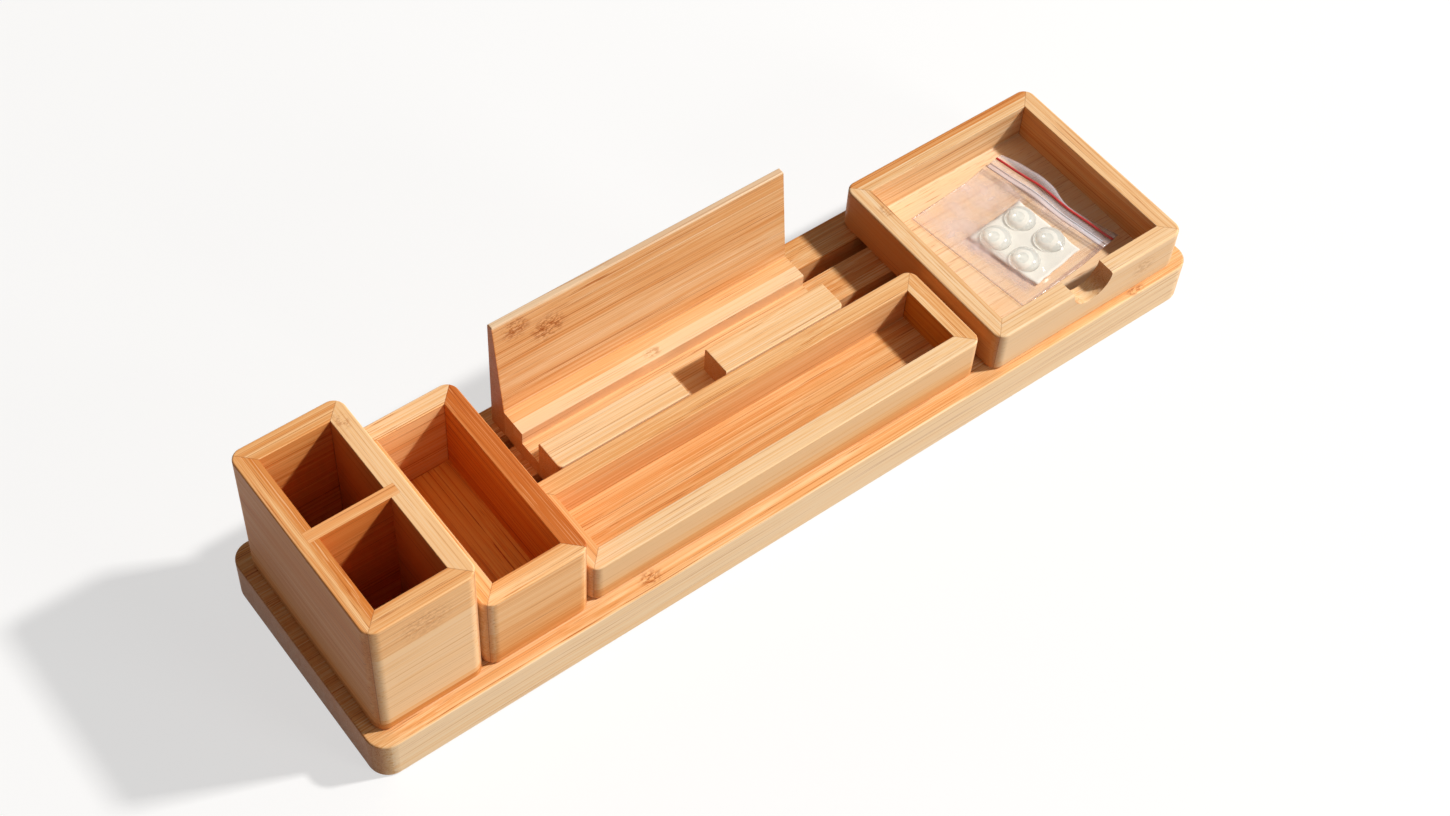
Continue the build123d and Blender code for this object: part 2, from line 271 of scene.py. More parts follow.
# The colours of bamboo, from tone 0 to tone 1
TONE_STOPS = [(0.0, PALE), (0.12, CREAM), (0.50, HONEY), (1.0, AMBER)]
BRIGHT_FIBRE = (0.92, 0.64, 0.36)
DARK_FIBRE = (0.60, 0.36, 0.20)
END_GRAIN = (0.47, 0.17, 0.05)
KNOT_TINT = (0.52, 0.29, 0.15)
MITRE_TINT = (0.55, 0.40, 0.30)
BAMBOO_SPECULAR = 0.22
BAMBOO_BUMP_STRENGTH = 0.3
BAMBOO_BUMP_DEPTH = 0.1

# How far the grain wanders from side to side, in mm: across the stack of strips, and across their
# broad faces
STACK_WANDER = 1.4
BROAD_WANDER = 6.0
# How far apart in the culm two strips of a board may come from, in mm
CULM_REACH = 900.0
# The noises of a strip: waves a mm along the grain, across the stack and across the broad face,
# then their detail and roughness
STRIP_NOISES = {
    "fine": ((0.0035, 1.60, 1.15), 4.0, 0.72),
    "hair": ((0.0032, 1.90, 1.45), 2.0, 0.60),
    "line": ((0.0035, 0.62, 0.34), 3.0, 0.55),
    "band": ((0.003, 0.26, 0.09), 2.0, 0.50),
    "dash": ((0.075, 2.1, 1.7), 2.0, 0.6),
    "lasting": ((0.015, 0.5, 0.3), 1.0, 0.5),
}
# How squarely a face has to look along an axis, from where it starts to count to where it is full:
# into or out of a box, through the stack of strips, and along the grain
SIDE_FACING = (0.5, 0.9)
BROAD_FACING = (0.55, 0.85)
END_FACING = (0.35, 0.80)
# How much more the grain shows on a face that looks into a box
INWARD_STREAK = 0.6
# The glue line of a mitre: where it starts and where it is full, in mm along x from its middle, how
# much it shades and how deep it lies in the bump's height
MITRE_EDGE = (0.30, 0.10)
MITRE_SHADE = 0.6
MITRE_DEPTH = 1.5
# How softly a board's tone changes at a band, in mm to each side
BAND_EDGE = 0.1


def make_bamboo_group():
    """Pressed bamboo strips: x runs along the grain and y across the stack of strips, in mm."""
    group = bpy.data.node_groups.new("bamboo_grain", "ShaderNodeTree")
    face = group.interface
    face.new_socket("Vector", in_out="INPUT", socket_type="NodeSocketVector")
    for name in ("Broad", "End", "Strip", "Tone", "Streak", "Dash"):
        face.new_socket(name, in_out="INPUT", socket_type="NodeSocketFloat")
    for name, kind in (("Color", "Color"), ("Roughness", "Float"), ("Height", "Float")):
        face.new_socket(name, in_out="OUTPUT", socket_type=f"NodeSocket{kind}")
    g = Graph(group)
    source = g.node("NodeGroupInput")
    place = source["Vector"]
    broad = source["Broad"]
    x, y, z = g.split(place)
    y = g.add(y, g.centred(g.noise(place, (0.007, 0.02, 0.02)), STACK_WANDER))
    z = g.add(z, g.centred(g.noise(place, (0.008, 0.03, 0.02)), BROAD_WANDER))

    # Each strip has its own tone, its own stretch of the culm and a denser side
    count = g.math("DIVIDE", y, source["Strip"])
    across = g.math("FRACT", count)
    number = g.math("FLOOR", count)
    chance = g.node("ShaderNodeTexWhiteNoise", {"W": number}, noise_dimensions="1D")
    own_tone, own_start, own_side = g.split(chance["Color"])
    strip_place = g.join(g.add(x, g.times(own_start, CULM_REACH)), y, z)
    noises = (g.noise(strip_place, *settings) for settings in STRIP_NOISES.values())
    fine, hair, line, band, dash, lasting = noises
    cloud = g.noise(place, (0.012, 0.05, 0.05))

    # Broad faces of a strip are paler and calmer than its narrow edges
    streak = g.times(source["Streak"], g.math("SUBTRACT", 1.0, g.times(broad, 0.30)))
    side = g.times(g.centred(across, 1.0), g.centred(own_side, 0.45))
    tone = g.add(
        source["Tone"],
        g.times(g.centred(own_tone, 0.20), streak),
        g.times(side, streak),
        g.times(g.centred(band, 0.45), streak),
        g.times(g.centred(line, 0.45), streak),
        g.times(g.centred(fine, 1.85), streak),
        g.centred(cloud, 0.20),
        g.times(broad, -0.14),
    )
    ramp = group.nodes.new("ShaderNodeValToRGB")
    g.feed(ramp.inputs[0], tone)
    stops = ramp.color_ramp.elements
    for position, _ in TONE_STOPS[1:-1]:
        stops.new(position)
    for stop, (position, colour) in zip(stops, TONE_STOPS):
        stop.position = position
        stop.color = (*colour, 1)

    # Thin dark and bright fibre lines, short vessel dashes and the glue line between two strips
    dark = g.times(g.step(hair, 0.58, 0.65), g.step(lasting, 0.40, 0.60, 0.35, 1.0), streak, 0.95)
    colour = g.shade(g.math("MINIMUM", dark, 1.0), ramp.outputs[0], DARK_FIBRE)
    bright = g.times(g.step(hair, 0.42, 0.35), streak, 0.55)
    colour = g.mix(g.math("MINIMUM", bright, 1.0), colour, BRIGHT_FIBRE)
    dots = g.times(g.step(dash, 0.58, 0.70), source["Dash"])
    colour = g.shade(g.math("MINIMUM", dots, 1.0), colour, DARK_FIBRE)
    edge = g.math("MINIMUM", across, g.math("SUBTRACT", 1.0, across))
    seam = g.times(g.step(edge, 0.04, 0.0), own_tone, 0.45)
    colour = g.shade(seam, colour, DARK_FIBRE)

    # The cut ends of the fibres show as fine dark dots
    vessel = g.step(g.noise(place, (0.0, 2.6, 2.6), 2.0, 0.6), 0.50, 0.66, 0.0, 0.7)
    ends = g.shade(vessel, g.mix(0.65, colour, END_GRAIN), DARK_FIBRE)
    g.node("NodeGroupOutput", {
        "Color": g.mix(source["End"], colour, ends),
        "Roughness": g.add(0.38, g.times(line, 0.22)),
        "Height": g.add(g.times(fine, 0.5), g.times(hair, 0.4), g.times(dash, 0.3), g.times(seam, -0.5)),
    })


def knot_mask(g, spot, centre, reach, strength):
    """A speckled patch where a node of the culm crosses a board."""
    near = g.vector("DIVIDE", g.vector("SUBTRACT", spot, centre), reach)
    far = g.node("ShaderNodeVectorMath", [near], operation="LENGTH")["Value"]
    speckle = g.noise(spot, (0.45, 0.9, 0.9), 3.0, 0.7)
    return g.times(g.step(far, 1.1, 0.35), g.step(speckle, 0.42, 0.60), strength)


def mitre_line(g, spots, corner_x, corner_y, sign):
    """The glue line of a mitre, which runs into a board from a corner."""
    from_x = g.math("SUBTRACT", spots["X"], corner_x)
    from_y = g.math("SUBTRACT", spots["Y"], corner_y)
    return g.step(g.size(g.add(from_x, g.times(from_y, sign))), *MITRE_EDGE)


def bamboo(name, seed, strip, tone, streak, grain="X", stack="Y", dash=0.06, inward=None,
           deep=NO_TINT, outer=NO_TINT, wash=NO_TINT, knots=(), mitres=(), bands=()):
    """Bamboo for one board: its strips and tone, the axes of its grain and of its stack, and its marks.

    inward gives the face that looks into a box, and the tint after it lays painted shade on that face,
    warm as from light bounced inside the box. outer tints the face on its other side, and on the left
    walls that tint is painted shade on the side away from the lamp; wash tints the whole board. knots
    are speckled patches, mitres are the corners that the board's ends are cut towards, and bands
    change the board's tone or lay painted bounce light at the foot of a front wall: an axis, the place
    along it in mm, the change and the side it takes.
    """
    material, g = new_material(name)
    spot, normal = g.place()
    spots, facing = (dict(zip("XYZ", g.split(vector))) for vector in (spot, normal))
    rest = ({"X", "Y", "Z"} - {grain, stack}).pop()
    turned_spot = g.join(spots[grain], spots[stack], spots[rest])
    for axis, position, change, sign in bands:
        beyond = g.times(g.math("SUBTRACT", spots[axis], position), sign)
        tone = g.add(tone, g.times(g.step(beyond, -BAND_EDGE, BAND_EDGE), change))
    if inward:
        axis, sign = inward
        looks_in = g.step(g.times(facing[axis], sign), *SIDE_FACING)
        looks_out = g.step(g.times(facing[axis], -sign), *SIDE_FACING)
        streak = g.add(streak, g.times(looks_in, INWARD_STREAK))
    # Each board is cut from its own place, so no two show the same grain
    start = (seed * 131.7 % 977, seed * 37.31 % 211, seed * 53.17 % 157)
    settings = {
        "Vector": g.vector("ADD", turned_spot, start),
        "Broad": g.step(g.size(facing[stack]), *BROAD_FACING),
        "End": g.step(g.size(facing[grain]), *END_FACING),
        "Strip": strip,
        "Tone": tone,
        "Streak": streak,
        "Dash": dash,
    }
    own = g.node("ShaderNodeGroup", settings, node_tree=bpy.data.node_groups["bamboo_grain"])
    colour = g.shade(1.0, own["Color"], wash)
    for centre, reach, strength in knots:
        colour = g.shade(knot_mask(g, spot, centre, reach, strength), colour, KNOT_TINT)
    # Painted shade: the face that looks into a box is darkened and warmed as by the shade and the
    # bounced light inside it
    if inward:
        colour = g.shade(looks_in, colour, deep)
        # The outer face's tint is painted shade on the left walls, which face away from the lamp
        colour = g.shade(looks_out, colour, outer)
    height = own["Height"]
    for corner_x, corner_y, sign in mitres:
        joint = mitre_line(g, spots, corner_x, corner_y, sign)
        colour = g.shade(g.times(joint, MITRE_SHADE), colour, MITRE_TINT)
        height = g.add(height, g.times(joint, -MITRE_DEPTH))
    sockets = {
        "Base Color": colour, "Roughness": own["Roughness"], "Specular IOR Level": BAMBOO_SPECULAR,
    }
    g.surface(sockets, height, BAMBOO_BUMP_STRENGTH, BAMBOO_BUMP_DEPTH)
    return material


# The walls of each box: strip width in mm, tone, streak and the tint of painted shade on the face that
# looks inside, warm as from light bounced in the box
BOXES = {
    "pen_holder": {
        "front": (7.0, 0.20, 0.8, (0.66, 0.36, 0.16)),
        "back": (7.0, 0.40, 0.9, (0.96, 0.70, 0.44)),
        "left": (6.0, 0.92, 1.1, (0.55, 0.30, 0.14)),
        "right": (7.5, 0.08, 0.5, (0.72, 0.40, 0.17)),
    },
    "small_box": {
        "front": (7.0, 0.34, 0.8, (0.66, 0.40, 0.22)),
        "back": (7.0, 0.12, 0.9, (0.98, 0.85, 0.69)),
        "left": (7.0, 0.40, 0.9, (0.68, 0.42, 0.24)),
        "right": (5.0, 1.00, 1.0, (0.98, 0.80, 0.42)),
    },
    "long_tray": {
        "front": (9.0, 0.14, 0.6, (0.90, 0.72, 0.54)),
        "back": (9.0, 0.28, 0.8, (0.95, 0.82, 0.68)),
        "left": (7.0, 0.32, 0.8, (0.88, 0.68, 0.50)),
        "right": (7.0, 0.36, 1.0, (0.68, 0.38, 0.10)),
    },
    "note_box": {
        "front": (8.0, 0.14, 0.7, (0.92, 0.76, 0.60)),
        "back": (8.0, 0.32, 0.8, (0.88, 0.93, 0.97)),
        "left": (7.0, 0.22, 0.9, (0.92, 0.76, 0.60)),
        "right": (7.0, 0.30, 0.8, (0.80, 0.56, 0.36)),
    },
}
# Tints of the face that looks out of a box, which on the left walls of the pen holder and the note box
# are painted shade on the side away from the lamp, and washes over the whole of a box or of a board
OUTER_TINTS_AND_SHADE = {
    # painted shade on the pen holder's left outer face, away from the lamp
    "pen_holder_left_wall": (0.86, 0.68, 0.52),
    "pen_holder_front_wall": (0.97, 0.95, 0.92),
    "small_box_front_wall": (0.97, 0.95, 0.92),
    "long_tray_front_wall": (0.92, 0.83, 0.73),
    "note_box_front_wall": (0.95, 0.89, 0.82),
    # painted shade on the note box's left outer face, away from the lamp
    "note_box_left_wall": (0.76, 0.44, 0.22),
    "small_box_right_wall": (1.1, 1.4, 1.8),
}
BOX_WASHES = {
    "pen_holder": (1.05, 0.98, 0.92),
    "small_box": (1.05, 0.97, 0.91),
    "note_box": (0.98, 1.0, 1.05),
}
WASHES = {
    "base_board": (0.98, 1.0, 1.03),
    "pen_holder_divider": (1.12, 1.05, 1.05),
    "small_box_right_wall": (0.88, 0.66, 0.55),
    "note_box_floor": (1.0, 1.07, 1.26),
    "stand_back_panel": (0.94, 0.97, 1.05),
}
# Where a board's tone changes, and at the foot of some front walls where painted bounce light lies: the
# axis, the place along it in mm, the change and the side it takes
BANDS = {
    "pen_holder_front_wall": [("Z", 66.3, 0.26, 1), ("Z", 26.5, 0.26, -1)],
    "pen_holder_back_wall": [("Y", 40.3, 0.14, 1)],
    "pen_holder_left_wall": [("X", -184.9, -0.34, -1)],
    # The small box front's Z bands make it darker and warmer toward the bottom: partly the wall's own
    # tone, partly painted bounce light from the base
    "small_box_front_wall": [
        ("Z", 40.0, 0.18, -1), ("Z", 27.5, 0.18, -1), ("Y", -40.4, -0.22, -1), ("Y", -44.2, 0.22, -1),
    ],
    # The tray front's Z bands darken and warm its bottom: partly a darker strip of the wall, partly
    # painted bounce light from the base
    "long_tray_front_wall": [("Z", 26.2, 0.28, -1), ("Z", 30.2, 0.10, -1)],
    "long_tray_back_wall": [("Z", 35.0, 0.14, 1)],
    # The note box front's Z band darkens and warms its bottom: painted bounce light from the base
    "note_box_front_wall": [("Z", 24.6, 0.08, -1)],
    "note_box_back_wall": [("Y", 44.0, 0.60, 1)],
    "base_board": [("Y", -50.6, -0.18, -1), ("Y", -44.0, -0.10, -1), ("X", -193.0, 0.30, -1)],
    "stand_back_panel": [
        ("X", -82.2, 0.40, -1), ("Z", 56.5, 0.19, 1), ("Z", 70.2, -0.16, 1), ("Z", 77.2, -0.45, 1),
        ("Z", 39.5, 0.12, -1),
    ],
    "stand_ledge_strip": [("Y", 30.5, -0.42, -1)],
}
# The axis and the way along it from each wall to the inside of its box
INWARD = {"front": ("Y", 1), "back": ("Y", -1), "left": ("X", 1), "right": ("X", -1)}

# Where a node of the culm shows: its centre and its reach in mm, and how dark it is
KNOTS = {
    "stand_back_panel": [
        ((-72.8, 41.6, 72.2), (7, 6, 6), 0.9),
        ((-59.2, 40.5, 64.6), (9, 6, 7), 0.9),
    ],
    "stand_ledge_strip": [((-20.5, 27.8, 34.1), (5, 2.5, 3), 0.6)],
    "pen_holder_front_wall": [((-166.6, -44.5, 73.5), (13, 3, 9), 0.36)],
    "base_board": [((-75.1, -46.5, 20.0), (6, 3.5, 4), 0.9), ((163.5, -49.0, 20.0), (6, 2.5, 4), 0.8)],
    "note_box_front_wall": [((166.3, -47.8, 31.5), (7, 3, 6), 0.4)],
    "note_box_left_wall": [((94.4, 27.8, 40.5), (2.5, 4, 3), 0.7)],
    "pen_holder_right_wall": [((-149.2, 34.5, 84.0), (3, 5, 3), 0.6)],
}
# What is particular to a board, on top of its strips and tone
MARKS = {"outer": OUTER_TINTS_AND_SHADE, "wash": WASHES, "bands": BANDS, "knots": KNOTS}

# The boards that aren't walls of a box; the tint given with inward is painted shade on the face that
# looks into a box or into the phone groove
BOARDS = {
    "base_board": dict(strip=5.5, tone=0.50, streak=1.0),
    "pen_holder_floor": dict(strip=50.0, tone=0.95, streak=0.6),
    "pen_holder_divider": dict(
        strip=7.0, tone=0.38, streak=0.7, inward=("Y", -1), deep=(0.86, 0.50, 0.24),
    ),
    "small_box_floor": dict(
        strip=9.0, tone=0.30, streak=0.5, grain="Y", stack="X", inward=("Z", 1), deep=(1.12, 0.88, 0.38),
    ),
    "long_tray_floor": dict(strip=5.0, tone=0.50, streak=0.9),
    "note_box_floor": dict(strip=16.0, tone=0.10, streak=0.25, dash=0.7),
    "stand_back_panel": dict(strip=7.5, tone=0.34, streak=0.9, stack="Z"),
    "stand_base_board": dict(strip=6.0, tone=0.23, streak=0.7),
    "stand_ledge_strip": dict(
        strip=40.0, tone=0.42, streak=0.6, inward=("Y", -1), deep=(0.97, 0.90, 0.84),
    ),
}
LIP = dict(strip=6.0, tone=0.10, streak=0.8)
RUNNER = dict(strip=6.0, tone=0.5, streak=1.0)
# The modules with runners, which lie in the base's grooves
MODULES_WITH_RUNNERS = ("pen_holder", "small_box", "note_box", "stand")


def box_corners(box):
    """The corners of a box in plan, in mm, with the sign of the mitre that runs in from each."""
    left, right, front, back = (
        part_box(f"{box}_{side}_wall")[end][axis] / MM
        for side, end, axis in (("left", 0, 0), ("right", 1, 0), ("front", 0, 1), ("back", 1, 1))
    )
    return {
        "front_left": (left, front, -1), "front_right": (right, front, 1),
        "back_left": (left, back, 1), "back_right": (right, back, -1),
    }


def wall_looks(box, walls):
    """How the four walls of a box look, by node."""
    looks = {}
    corners = box_corners(box)
    # The last of each wall's numbers is the tint of painted shade on its inside face
    for side, (strip, tone, streak, deep) in walls.items():
        grain, stack = ("X", "Y") if side in ("front", "back") else ("Y", "X")
        looks[f"{box}_{side}_wall"] = dict(
            strip=strip, tone=tone, streak=streak, grain=grain, stack=stack,
            inward=INWARD[side], deep=deep, wash=BOX_WASHES.get(box, NO_TINT),
            mitres=[place for corner, place in corners.items() if side in corner],
        )
    return looks


def dress_boards():
    """Every board of the organizer, with its own piece of bamboo."""
    looks = dict(BOARDS)
    for box, walls in BOXES.items():
        looks.update(wall_looks(box, walls))
    for side in ("left", "right"):
        looks[f"stand_{side}_lip_strip"] = LIP
    for module in MODULES_WITH_RUNNERS:
        for place in ("front", "rear"):
            looks[f"{module}_{place}_runner"] = RUNNER
    for seed, node in enumerate(sorted(looks), start=1):
        marks = {mark: table[node] for mark, table in MARKS.items() if node in table}
        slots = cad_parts[node].data.materials
        slots.clear()
        slots.append(bamboo(f"bamboo_{node}", seed, **{**looks[node], **marks}))


# ---------------------------------------------------------------- packet of spare feet

BAG_LENGTH = 53.5
BAG_WIDTH = 61.5
BAG_TURN = math.radians(6.5)
BAG_BACK_X = -BAG_LENGTH / 2
FILM_GAP = 0.25
WELD_THICKNESS = 0.12
# How high the rim of the bag lies, and how much higher the film is kept inside it
RIM_LIFT = 0.25
FILM_LIFT = 0.1
ZIP_MIDDLE_X = 23.2
ZIP_SLANT = -0.042
ZIP_LIFT = 3.4
# The film climbs to the zip over a length, and close to it is held up to a share of its height
ZIP_CLIMB = 20
ZIP_SHOULDER = 6
ZIP_SHARE = 0.6
# The red line stands a little higher than the zip's middle
RED_LIFT = 0.15
RED_HALF_WIDTH = 0.55
RED_HALF_HEIGHT = 0.40
RED_STEPS = 90
# The zip's strips stop short of the bag's edges
STRIP_INSET = 0.2
STRIP_SIDES = 10
# The clear half of the zip, behind the red line: inset from it, half width and half height
RIBS = [
    ("zip_rib_front", 3.6, 0.35, 0.30),
    ("zip_rib_band", 4.6, 1.1, 0.12),
    ("zip_rib_rear", 5.6, 0.35, 0.30),
]
# The ribs lie on the film, which falls away behind the red line by a share of its height each mm
RIB_LIFT = 0.35
RIB_FALL = 0.06
# The bag lies a little skew: its mouth has drifted along its width
MOUTH_DRIFT = -1.8
# Places along the bag's width, and how far its open mouth reaches past its middle at each
MOUTH_OUTLINE = [
    (-31, 29.6), (-25, 28.4), (-18, 27.0), (-11, 26.0), (-6, 25.4),
    (-2, 26.0), (3, 28.2), (13, 29.2), (22, 28.2), (31, 25.8),
]
MOUTH_SMOOTHING = 7
# The flap beyond the zip arches up and then droops to its mouth
FLAP_ARCH = 0.8
FLAP_DROOP = 1.2
BODY_STEPS = 96
FLAP_STEPS = 10
ROW_STEPS = 112
# The film sinks a little at each pass, and is smoothed when it has come to rest
DRAPE_PASSES = 500
DRAPE_SAG = 0.0035
DRAPE_SMOOTHING = 8
# The wrinkles of the film: their height, the shares of it that it has where it lies on something
# and that it gains where it hangs free, and how far in from the rim and the zip they are full
WRINKLE_HEIGHT = 0.75
WRINKLE_FREE = 0.67
WRINKLE_HELD = 0.05
RIM_FADE = 5
ZIP_FADE = 4

CARD_LENGTH = 29.5
CARD_WIDTH = 34.0
CARD_TURN = math.radians(8.0)
# The hand-cut card isn't quite square: its corners in the row frame, from the left one round
CARD_CORNERS = [(122.9, 7.8), (129.2, -27.0), (156.0, -22.9), (152.8, 10.5)]
CARD_STEPS = 24
# Its edge wanders and its top buckles over a share of its width, and the top lies a little low
CARD_RIM_SHARE = 0.12
CARD_WANDER = 0.22
CARD_BUCKLE = 0.07
CARD_SINK = 0.08
# How far the film stays off the card and off the feet
CARD_CLEARANCE = 0.15
FOOT_CLEARANCE = 0.2
FOOT_RADIUS = 6.35
FOOT_HEIGHT = 3.5
FOOT_SIDES = 40
FOOT_STEPS = 7
# The angle at which a foot's curve starts over its upright rim, in degrees
FOOT_SHOULDER = 20

# Uneven fields: the seed, how many waves, their least and most radians a mm, and the stretch of y
FILM_WRINKLES = (5, 14, 0.25, 0.9, 0.6)
CARD_EDGE_WAVES_X = (11, 9, 0.3, 1.3, 1.0)
CARD_EDGE_WAVES_Y = (12, 9, 0.3, 1.3, 1.0)
CARD_TOP_WAVES = (13, 9, 0.15, 0.6, 1.0)

FILM_SPECULAR = 0.6
# The film's warm tints by the cloud in it, and its tints along the weld and past the ribs
FILM_DARK = (0.66, 0.49, 0.45)
FILM_LIGHT = (0.85, 0.72, 0.70)
WELD_TINT = (0.74, 0.60, 0.52)
ZIP_TINT = (0.76, 0.73, 0.78)
# The card as the film's looks take it: where its middle lies across the bag, and its soft edge
FILM_CARD_Y = -9.0
FILM_CARD_EDGE = (13, 17)
# A clear foot veils the card by a share at its middle, and by more or less in each ring outward. The
# rings are painted light of its lens: a bright ring of gathered light and a darker grey-green ring
# beyond it. Each gives where it starts and ends, its colour and the change of veil
FOOT_VEIL = 0.46
FOOT_PAINTED_LIGHT_RINGS = [
    (2.1, 2.9, (1.0, 0.98, 0.89), 0.24),
    (4.0, 4.9, (0.80, 0.83, 0.78), -0.14),
]
# The light that a foot gathers falls off its middle, away from the lamp
FOOT_GLOW = (-2.1, -0.2, 0.0)

# The mottled materials: two colours, the least and most roughness, and the mottle's waves a mm
ZIP_RED = dict(light=(0.64, 0.035, 0.03), dark=(0.46, 0.02, 0.025), smooth=0.32, rough=0.44, scale=0.5)
CARD_PAPER = dict(light=(0.86, 0.84, 0.76), dark=(0.83, 0.81, 0.73), smooth=0.55, rough=0.75, scale=0.15)
CLEAR_RUBBER = dict(
    light=(0.82, 0.85, 0.79), dark=(0.78, 0.81, 0.75), smooth=0.10, rough=0.16, scale=0.3,
    specular=0.35, rings=FOOT_PAINTED_LIGHT_RINGS,
)


def film_material(name, haze, milk):
    """Clear polyethylene: glossy, with a haze, a milky cloud and fine creases.

    x runs from the closed end to the zip and y along the bag's width, in mm from its middle.
    """
    material, g = new_material(name)
    spot, normal = g.place()
    x, y, _ = g.split(spot)
    cloud = g.noise(spot, (0.07, 0.05, 0.05), 2.5, 0.55)
    crease = g.noise(spot, (0.24, 0.10, 0.12), 2.5, 0.55)
    streaks = g.noise(spot, (0.05, 0.17, 0.1))
    rim = g.node("ShaderNodeLayerWeight", {"Blend": 0.22})["Fresnel"]

    # It is milky where it stands off the floor, and clear along its edge and on the card
    open_side = g.times(g.step(y, -24, -8), g.step(g.size(g.add(x, 2.0)), 24, 17))
    off_card = g.step(g.math("MAXIMUM", g.size(x), g.size(g.add(y, -FILM_CARD_Y))), *FILM_CARD_EDGE)
    milky = g.times(g.at_least(open_side, 0.15), g.at_least(off_card, 0.2), milk)
    hazy = g.times(g.at_least(off_card, 0.3), haze)
    # A milky band between the bag's closed end and the card is painted light that lightens the card's
    # cast shadow there, and glints lie off the card
    shadow_lightening_band = g.times(
        g.step(x, -22.5, -18.5), g.step(x, -13.5, -16.0), g.step(y, -28, -24), g.step(y, 10, 6),
    )
    glint = g.times(g.step(streaks, 0.58, 0.70), open_side, off_card)
    # The weld runs along both sides, with a fold at the closed end
    from_side = g.math("SUBTRACT", BAG_WIDTH / 2, g.size(y))
    from_edge = g.math("MINIMUM", from_side, g.math("SUBTRACT", x, BAG_BACK_X))
    weld = g.step(from_edge, 1.0, 0.4)
    # Past the ribs the film is doubled up, and looks cooler and denser
    by_zip = g.step(x, 18.0, 20.0)
    alpha = g.add(
        hazy,
        g.times(g.step(cloud, 0.25, 0.72), milky),
        g.times(shadow_lightening_band, 0.26),
        g.times(glint, 0.30),
        g.times(weld, 0.34),
        g.times(by_zip, 0.11),
        g.times(rim, 0.14),
    )
    # The film underneath is clearer, because the upper one already veils it
    alpha = g.times(alpha, g.step(g.split(normal)[2], -0.4, 0.0, 0.2, 1.0))

    tint = g.mix(by_zip, g.mix(cloud, FILM_DARK, FILM_LIGHT), ZIP_TINT)
    rough = g.step(crease, 0.3, 0.7, 0.10, 0.26)
    sockets = {
        "Base Color": g.shade(weld, tint, WELD_TINT),
        "Roughness": g.times(rough, g.at_least(off_card, 0.5)),
        "Alpha": g.math("MINIMUM", alpha, 0.95),
        "Specular IOR Level": FILM_SPECULAR,
    }
    height = g.times(g.add(crease, g.times(cloud, 0.7)), g.at_least(off_card, 0.08))
    g.surface(sockets, height, strength=0.45, depth=1.0)
    return material


def mottled(name, light, dark, smooth, rough, scale, specular=0.5, rings=()):
    """A surface with a soft mottle between two colours, or a clear one with rings in it.

    The rings are painted light: they run about the light that a foot gathers, which falls off its
    middle.
    """
    material, g = new_material(name)
    spot, normal = g.place()
    mottle = g.noise(spot, (scale, scale, scale), 3.0, 0.6)
    tone = g.mix(g.step(mottle, 0.3, 0.7), dark, light)
    sockets = {"Roughness": g.step(mottle, 0.3, 0.7, smooth, rough), "Specular IOR Level": specular}
    if rings:
        x, y, _ = g.split(g.vector("SUBTRACT", spot, FOOT_GLOW))
        out = g.math("SQRT", g.add(g.times(x, x), g.times(y, y)))
        veil = FOOT_VEIL
        # Painted light of the clear foot's lens, laid into its colour and veil ring by ring
        for start, end, tint, change in rings:
            tone = g.mix(g.step(out, start, end), tone, tint)
            veil = g.add(veil, g.times(g.step(out, start, end), change))
        above = g.step(g.split(normal)[2], -0.5, -0.2)
        sockets["Alpha"] = g.times(veil, above)
    g.surface({"Base Color": tone, **sockets}, mottle, strength=0.2, depth=0.05)
    return material


def add_piece(name, vertices, faces, body, material):
    """A smooth mesh piece in millimetres of the row frame, riding on a body."""
    mesh = bpy.data.meshes.new(name)
    mesh.from_pydata((np.array(vertices) * MM).tolist(), [], faces)
    mesh.validate()
    mesh.shade_smooth()
    mesh.materials.append(material)
    piece = bpy.data.objects.new(name, mesh)
    bpy.context.scene.collection.objects.link(piece)
    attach(piece, body)
    return piece


def place_local(piece, centre, turn=0.0):
    """Sets a piece down at a place in millimetres, turned about the upright axis."""
    piece.matrix_world = Matrix.Translation(Vector(centre) * MM) @ Matrix.Rotation(turn, 4, "Z")


def middle(node):
    """The middle of a CAD node, in mm."""
    return [(a + b) / 2 / MM for a, b in zip(*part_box(node))]


def turned(x, y, angle):
    """A point seen from axes that are turned by an angle."""
    return x * math.cos(angle) + y * math.sin(angle), -x * math.sin(angle) + y * math.cos(angle)


def waves(x, y, seed, count, low, high, stretch):
    """A smooth uneven field of about unit height: plane waves of random heading, seeded."""
    draw = np.random.default_rng(seed)
    field = np.zeros_like(x)
    for _ in range(count):
        heading = draw.uniform(0, math.pi)
        number = draw.uniform(low, high)
        phase = draw.uniform(0, 2 * math.pi)
        run = x * math.cos(heading) * number + y * math.sin(heading) * number * stretch
        field += np.sin(run + phase)
    return field / math.sqrt(count)


def smooth_step(value, low, high):
    share = np.clip((value - low) / (high - low), 0, 1)
    return share * share * (3 - 2 * share)


def closed_sheet(top, low):
    """Vertices and faces of a thin closed sheet: two grids of points, joined along their rims."""
    index = np.arange(top[..., 0].size).reshape(top.shape[:2])
    upper = np.stack([index[:-1, :-1], index[1:, :-1], index[1:, 1:], index[:-1, 1:]], -1).reshape(-1, 4)
    lower = upper[:, [0, 3, 2, 1]] + index.size
    rim = np.concatenate([index[0, :-1], index[:-1, -1], index[-1, :0:-1], index[:0:-1, 0]])
    ahead = np.roll(rim, -1)
    edge = np.stack([rim, ahead, ahead + index.size, rim + index.size], -1)
    faces = np.concatenate([np.stack([upper, lower], 1).reshape(-1, 4), edge])
    return np.concatenate([top.reshape(-1, 3), low.reshape(-1, 3)]), faces.tolist()


